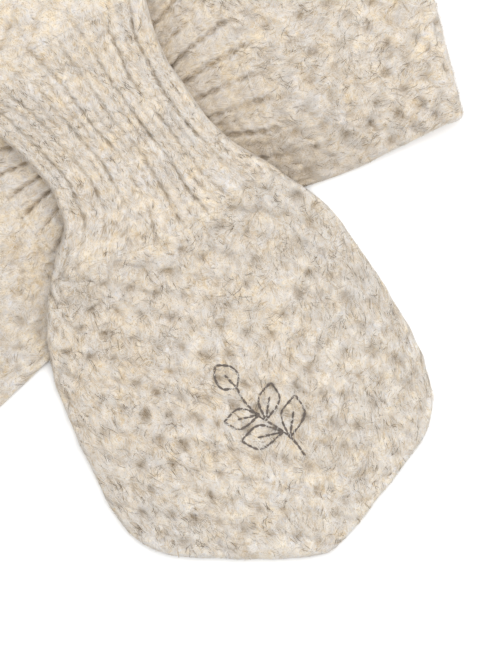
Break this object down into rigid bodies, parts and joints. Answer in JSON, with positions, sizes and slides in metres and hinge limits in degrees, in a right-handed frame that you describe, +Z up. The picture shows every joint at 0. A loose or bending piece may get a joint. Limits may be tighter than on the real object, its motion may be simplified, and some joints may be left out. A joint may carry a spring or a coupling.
{
  "type": "pull-through neck warmer",
  "caption": "Hand-knitted pull-through neck warmer laid flat: a ring of moss stitch with a ribbed keyhole and two broad pointed leaves.",
  "frame": {"origin": "under the middle of the back of the neck, on the surface that the garment lies on", "axes": "+Z up from that surface; +Y from the leaves towards the back of the neck, upwards in the picture; +X to the right in it"},
  "size_m": [0.3168, 0.3117, 0.0239],
  "materials": {
    "moss_knit": "chunky brushed wool in moss stitch, matt and hairy",
    "rib_knit": "chunky brushed wool in single rib, matt and hairy",
    "thread": "matt embroidery thread"
  },
  "bodies": {
    "root": {"front_leaf": "moss_knit", "back_leaf": "moss_knit", "neck_left": "moss_knit", "neck_right": "moss_knit", "neck_back": "moss_knit", "keyhole_top_rib": "rib_knit", "keyhole_under_rib": "rib_knit", "through_rib": "rib_knit"}
  },
  "joints": []
}
